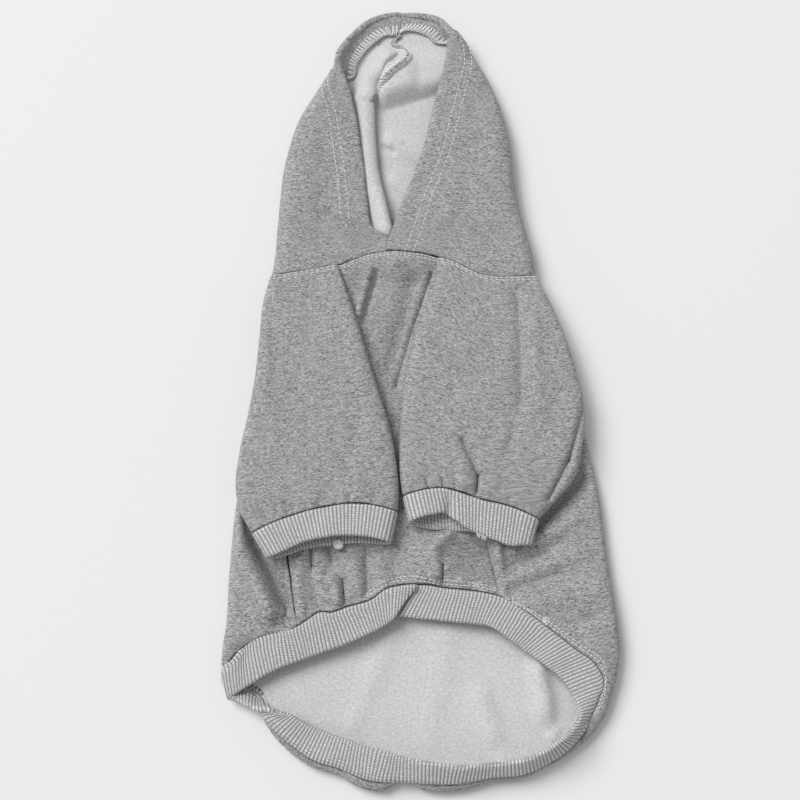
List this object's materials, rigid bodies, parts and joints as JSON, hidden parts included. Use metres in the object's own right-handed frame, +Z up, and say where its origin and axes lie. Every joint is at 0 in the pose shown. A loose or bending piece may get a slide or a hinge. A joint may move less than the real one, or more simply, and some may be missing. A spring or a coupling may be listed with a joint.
{
  "type": "cat hoodie",
  "caption": "Soft grey marl pullover hoodie for a cat, laid flat on its back with the belly side up, with ribbed cuffs and hem band.",
  "frame": {"origin": "centre of the bounding box, at the level of the surface that the hoodie lies on", "axes": "+Z up from the surface, belly side up; +Y from the hem to the tip of the hood; +X to the right as seen from above with the hood at the top"},
  "size_m": [0.198, 0.4175, 0.02],
  "materials": {
    "marl_knit": "matt heathered sweatshirt knit with a brushed fleece inside",
    "rib_knit": "matt ribbed knit, lighter than the body"
  },
  "bodies": {
    "root": {"back_panel": "marl_knit", "belly_panel": "marl_knit", "sleeve_left": "marl_knit", "sleeve_right": "marl_knit", "hood_left": "marl_knit", "hood_right": "marl_knit", "cuff_left": "rib_knit", "cuff_right": "rib_knit", "hem_band": "rib_knit"}
  },
  "joints": []
}
